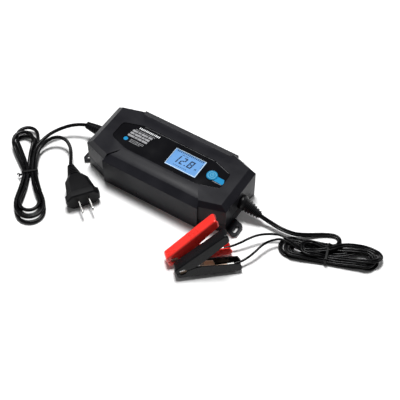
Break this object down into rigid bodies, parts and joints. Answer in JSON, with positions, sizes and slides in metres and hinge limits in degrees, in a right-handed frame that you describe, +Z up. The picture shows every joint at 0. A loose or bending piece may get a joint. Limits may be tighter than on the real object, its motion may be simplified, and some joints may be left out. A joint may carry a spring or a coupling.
{
  "type": "car battery charger",
  "caption": "Smart car battery charger in a flat black case with a lit display, one button, a mains cord with plug and a red and a black battery clamp.",
  "frame": {"origin": "bottom centre of the case, on the surface that its feet stand on", "axes": "+X along the case towards the battery leads, -Y towards the long side with the mounting ears, +Z up through the display"},
  "size_m": [0.4789, 0.1981, 0.056],
  "materials": {
    "case_plastic": "fine-textured black moulded plastic",
    "label_film": "glossy black printed film",
    "window": "clear display window",
    "lcd": "liquid crystal display, lit from behind in blue",
    "backlight_white": "light-spreading panel",
    "button_cyan": "translucent pale blue button",
    "rubber_black": "satin black rubber",
    "seal_rubber": "soft seal",
    "steel_screw": "zinc-plated steel",
    "pcb": "green circuit board",
    "component_black": "moulded component body",
    "component_yellow": "yellow film capacitor",
    "ferrite": "ferrite core",
    "copper": "enamelled copper winding",
    "aluminium": "extruded aluminium",
    "sleeve": "shrunk sleeve on a capacitor",
    "glass_tube": "glass fuse tube",
    "clip_metal": "plated spring clip",
    "white_plastic": "white moulded plastic",
    "cord_black": "black flexible cord jacket",
    "plug_black": "black moulded plug",
    "nickel": "nickel-plated brass blades",
    "grip_red": "soft red vinyl",
    "grip_black": "soft black vinyl",
    "jaw_steel": "plated steel pressing",
    "jaw_copper": "copper-plated contact pressing",
    "ferrule_tin": "tinned crimp",
    "tie_black": "plastic-covered wire tie"
  },
  "bodies": {
    "charger": {"backlight": "backlight_white", "base_shell": "case_plastic", "black_clamp_lower_grip": "grip_black", "black_clamp_lower_jaw": "jaw_copper", "black_clamp_pivot_pin": "jaw_steel", "black_clamp_spring": "jaw_steel", "black_lead": "cord_black", "board_screws": "steel_screw", "bridge_rectifier": "component_black", "button_switch": "component_black", "case_seal": "seal_rubber", "controller_chip": "component_black", "cover_screws": "steel_screw", "display_board": "pcb", "display_holder": "component_black", "display_screws": "steel_screw", "display_window": "window", "fuse_clips": "clip_metal", "input_capacitor": "sleeve", "label_plate": "label_film", "lcd_panel": "lcd", "lead_ferrules": "ferrule_tin", "line_filter_choke": "copper", "line_fuse": "glass_tube", "main_board": "pcb", "mains_boot": "rubber_black", "mains_cord": "cord_black", "mains_hank": "cord_black", "mains_tie": "tie_black", "output_boot": "rubber_black", "output_capacitors": "sleeve", "output_choke": "copper", "output_cord": "cord_black", "output_hank": "cord_black", "output_rectifiers": "component_black", "output_relay": "component_black", "output_tie": "tie_black", "plug_blades": "nickel", "plug_body": "plug_black", "plug_cord": "cord_black", "power_transistor": "component_black", "primary_heatsink": "aluminium", "red_clamp_lower_grip": "grip_red", "red_clamp_lower_jaw": "jaw_copper", "red_clamp_pivot_pin": "jaw_steel", "red_clamp_spring": "jaw_steel", "red_lead": "cord_black", "ribbon_cable": "white_plastic", "rubber_feet": "rubber_black", "secondary_heatsink": "aluminium", "suppression_capacitor": "component_yellow", "top_cover": "case_plastic", "transformer_core": "ferrite", "transformer_winding": "component_yellow"},
    "mode_button": {"mode_button": "button_cyan", "switch_plunger": "white_plastic"},
    "red_clamp_jaw": {"red_clamp_upper_grip": "grip_red", "red_clamp_upper_jaw": "jaw_steel"},
    "black_clamp_jaw": {"black_clamp_upper_grip": "grip_black", "black_clamp_upper_jaw": "jaw_steel"}
  },
  "joints": [
    {"name": "mode_button_press", "type": "slide", "parent": "charger", "child": "mode_button", "axis": [0, 0, -1], "range_m": [0, 0.0008], "stiffness_N_per_m": 800, "springref_m": -0.0006},
    {"name": "red_clamp_opening", "type": "hinge", "parent": "charger", "child": "red_clamp_jaw", "pos_m": [0.07816, -0.08764, 0.01525], "axis": [-0.6889, 0.677, -0.2588], "range_deg": [0, 30], "stiffness_Nm_per_rad": 0.6, "springref_deg": -28.65},
    {"name": "black_clamp_opening", "type": "hinge", "parent": "charger", "child": "black_clamp_jaw", "pos_m": [0.09686, -0.09709, 0.01525], "axis": [-0.6337, 0.729, -0.2588], "range_deg": [0, 30], "stiffness_Nm_per_rad": 0.6, "springref_deg": -28.65}
  ]
}
